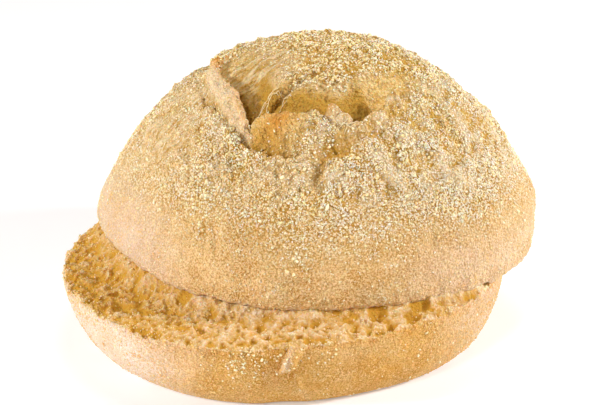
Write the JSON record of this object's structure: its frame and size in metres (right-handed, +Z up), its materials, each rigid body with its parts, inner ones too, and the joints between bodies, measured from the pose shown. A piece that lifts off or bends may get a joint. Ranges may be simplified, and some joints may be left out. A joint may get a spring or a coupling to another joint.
{
  "type": "bread roll",
  "caption": "Round rustic bread roll with a floured, burst crust, sliced through level, with its crown set down askew on its base.",
  "frame": {"origin": "on the table, under the middle of the base's flat underside", "axes": "+Z up, +X to the right and +Y to the back as seen from the side that the torn crown faces; the crown is moved towards +X and +Y"},
  "size_m": [0.1169, 0.1191, 0.0698],
  "materials": {
    "base_crust": "matte",
    "floured_crust": "matte"
  },
  "bodies": {
    "root": {"roll_base": "base_crust", "roll_crown": "floured_crust"}
  },
  "joints": []
}
